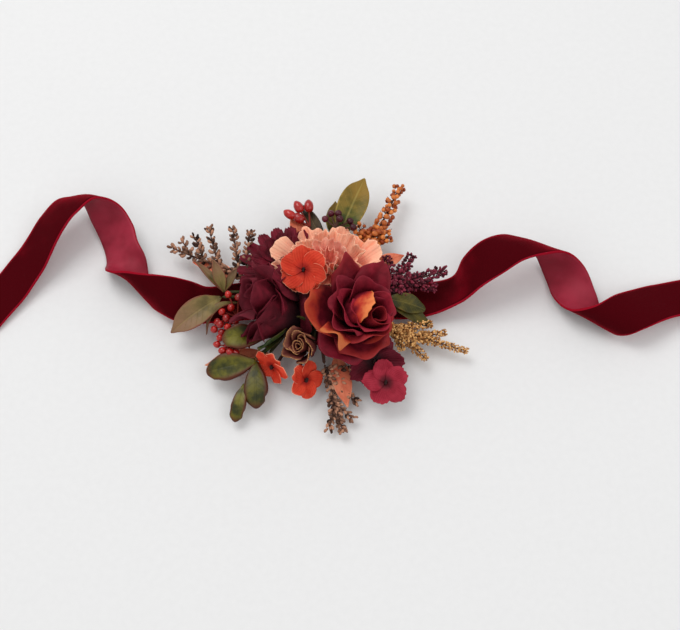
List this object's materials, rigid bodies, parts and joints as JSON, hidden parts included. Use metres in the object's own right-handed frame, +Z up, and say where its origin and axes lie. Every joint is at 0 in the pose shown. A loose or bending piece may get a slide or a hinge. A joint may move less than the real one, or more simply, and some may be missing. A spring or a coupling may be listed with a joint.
{
  "type": "wrist corsage",
  "caption": "Wrist corsage of fabric and paper flowers, leaves, berries and dried sprigs on an oval felt base, tied on with a velvet ribbon.",
  "frame": {"origin": "middle of the underside of the oval backing felt, which rests on the wrist or a table", "axes": "+X along the ribbon to the right, +Y to the back, +Z up out of the flowers"},
  "size_m": [0.4443, 0.1128, 0.0322],
  "materials": {
    "felt": "stiff wool felt, dark wine",
    "velvet": "velvet ribbon, satin back",
    "stem": "thin wire wrapped in green paper tape",
    "rose": "matt silk petals, wine with orange tips",
    "plum": "matt silk petals, dark plum",
    "mauve": "paper petals, gold glitter on the rims",
    "peach": "finely ribbed silk, peach",
    "wine": "matt silk, wine",
    "orange": "stamped paper, orange-red",
    "laurel": "stiff fabric, bronze green",
    "jade": "soft plastic, glossy green with brown rims",
    "olive": "waxed fabric, olive",
    "bronze": "waxed fabric, dark bronze",
    "coral": "matt silk, coral",
    "red": "glossy red",
    "maroon": "satin maroon",
    "brown": "dried twig, brown",
    "amber": "satin amber",
    "gold": "gold glitter over amber",
    "glue": "hot-melt glue, cloudy"
  },
  "bodies": {
    "spray": {"backing_felt": "felt", "ribbon_centre": "velvet", "base_felt": "felt", "main_rose_calyx": "stem", "plum_rose_calyx": "stem", "mini_rose_calyx": "stem", "peach_bloom_calyx": "stem", "burgundy_daisy_calyx": "stem", "orange_blossom_top_stem": "stem", "orange_blossom_low_stem": "stem", "orange_blossom_side_stem": "stem", "burgundy_blossom_front_stem": "stem", "burgundy_blossom_under_stem": "stem", "main_rose_bud": "rose", "main_rose_inner_petals": "rose", "main_rose_middle_petals": "rose", "main_rose_outer_petals": "rose", "plum_rose_bud": "plum", "plum_rose_inner_petals": "plum", "plum_rose_outer_petals": "plum", "mini_rose_bud": "mauve", "mini_rose_petals": "mauve", "peach_bloom_heart": "peach", "peach_bloom_inner_petals": "peach", "peach_bloom_outer_petals": "peach", "burgundy_daisy_heart": "wine", "burgundy_daisy_inner_petals": "wine", "burgundy_daisy_outer_petals": "wine", "orange_blossom_top_petals": "orange", "orange_blossom_low_petals": "orange", "orange_blossom_side_petals": "orange", "burgundy_blossom_front_petals": "wine", "burgundy_blossom_under_petals": "wine", "laurel_leaf_left": "laurel", "narrow_leaves_left": "laurel", "arched_leaf_left": "laurel", "jade_leaf_upper": "jade", "jade_sprig_lower": "jade", "olive_leaf_back": "olive", "olive_leaf_back_small": "olive", "bronze_leaf_back": "bronze", "olive_leaves_right": "olive", "coral_leaf_left": "coral", "coral_leaf_back": "coral", "coral_leaf_right": "coral", "coral_leaf_low": "coral", "coral_leaf_low_left": "coral", "red_berries_left": "red", "red_berries_low": "red", "red_buds_back": "red", "maroon_berries_back": "maroon", "brown_heather_left": "brown", "brown_heather_low": "brown", "orange_berry_spike": "amber", "purple_heather": "maroon", "gold_sprig": "gold", "glue_bed": "glue"},
    "ribbon_left": {"ribbon_tail_left": "velvet"},
    "ribbon_right": {"ribbon_tail_right": "velvet"}
  },
  "joints": [
    {"name": "ribbon_left_fold", "type": "hinge", "parent": "spray", "child": "ribbon_left", "pos_m": [-0.0252, 0, 0.0019], "axis": [0, -1, 0], "range_deg": [0, 85]},
    {"name": "ribbon_right_fold", "type": "hinge", "parent": "spray", "child": "ribbon_right", "pos_m": [0.0252, 0, 0.0019], "axis": [0, 1, 0], "range_deg": [0, 85]}
  ]
}
